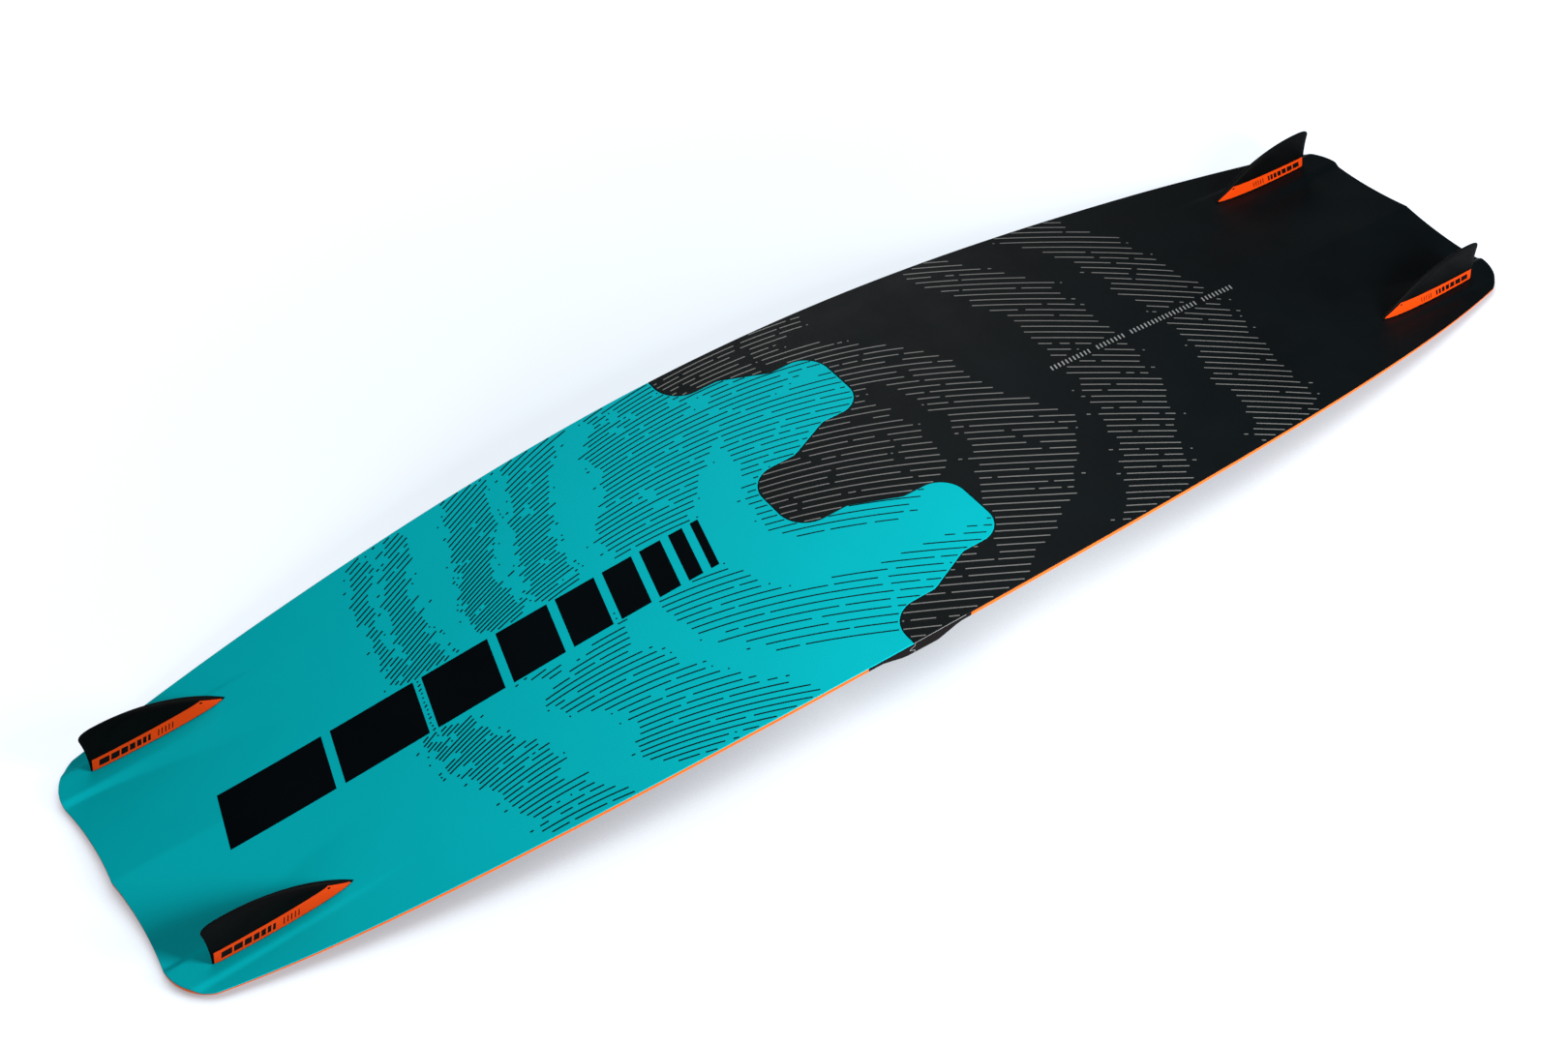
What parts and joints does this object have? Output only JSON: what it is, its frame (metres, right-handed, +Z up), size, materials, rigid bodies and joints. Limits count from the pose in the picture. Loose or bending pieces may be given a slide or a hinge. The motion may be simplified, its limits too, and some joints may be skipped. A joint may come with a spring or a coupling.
{
  "type": "kiteboard",
  "caption": "Split twin-tip kiteboard lying deck down with its fins up; the halves plug together along a wavy seam and are drawn tight by two captive bolts.",
  "frame": {"origin": "centre of the footprint, on the surface that the deck side of the tips rests on", "axes": "+X runs along the board from the teal half to the black half, +Y to the far rail, +Z up out of the base towards the fins"},
  "size_m": [1.3732, 0.3976, 0.0556],
  "materials": {
    "teal_base": "satin printed laminate, turquoise",
    "black_base": "satin printed laminate, near black",
    "deck": "matt fibre laminate, dark grey",
    "core": "light paulownia, unfinished",
    "rail": "moulded ABS, orange",
    "joint": "glass filled nylon, black",
    "fin": "satin fibre composite, black",
    "steel": "stainless steel",
    "brass": "turned brass"
  },
  "bodies": {
    "teal_half": {"teal_base_laminate": "teal_base", "teal_wood_core": "core", "teal_deck_laminate": "deck", "teal_edge_rail": "rail", "teal_joint_housing": "joint", "near_dowel_bush": "brass", "far_dowel_bush": "brass", "teal_far_fin": "fin", "teal_far_fin_screw_1": "steel", "teal_far_fin_washer_1": "steel", "teal_far_fin_screw_2": "steel", "teal_far_fin_washer_2": "steel", "teal_near_fin": "fin", "teal_near_fin_screw_1": "steel", "teal_near_fin_washer_1": "steel", "teal_near_fin_screw_2": "steel", "teal_near_fin_washer_2": "steel", "teal_binding_insert_1": "brass", "teal_binding_insert_2": "brass", "teal_binding_insert_3": "brass", "teal_binding_insert_4": "brass", "teal_binding_insert_5": "brass", "teal_binding_insert_6": "brass", "teal_handle_insert": "brass"},
    "black_half": {"black_base_laminate": "black_base", "black_wood_core": "core", "black_deck_laminate": "deck", "black_edge_rail": "rail", "black_joint_housing": "joint", "near_barrel_nut": "brass", "near_locating_dowel": "steel", "far_barrel_nut": "brass", "far_locating_dowel": "steel", "black_far_fin": "fin", "black_far_fin_screw_1": "steel", "black_far_fin_washer_1": "steel", "black_far_fin_screw_2": "steel", "black_far_fin_washer_2": "steel", "black_near_fin": "fin", "black_near_fin_screw_1": "steel", "black_near_fin_washer_1": "steel", "black_near_fin_screw_2": "steel", "black_near_fin_washer_2": "steel", "black_binding_insert_1": "brass", "black_binding_insert_2": "brass", "black_binding_insert_3": "brass", "black_binding_insert_4": "brass", "black_binding_insert_5": "brass", "black_binding_insert_6": "brass", "black_handle_insert": "brass"},
    "near_joint_bolt": {"near_joint_bolt": "steel", "near_bolt_clip": "steel"},
    "far_joint_bolt": {"far_joint_bolt": "steel", "far_bolt_clip": "steel"}
  },
  "joints": [
    {"name": "split_slide", "type": "slide", "parent": "teal_half", "child": "black_half", "axis": [1, 0, 0], "range_m": [0, 0.16]},
    {"name": "near_bolt_turn", "type": "hinge", "parent": "teal_half", "child": "near_joint_bolt", "pos_m": [0, -0.1, 0.04353], "axis": [-1, 0, 0], "range_deg": [0, 4320]},
    {"name": "far_bolt_turn", "type": "hinge", "parent": "teal_half", "child": "far_joint_bolt", "pos_m": [0, 0.1, 0.04353], "axis": [-1, 0, 0], "range_deg": [0, 4320]}
  ]
}
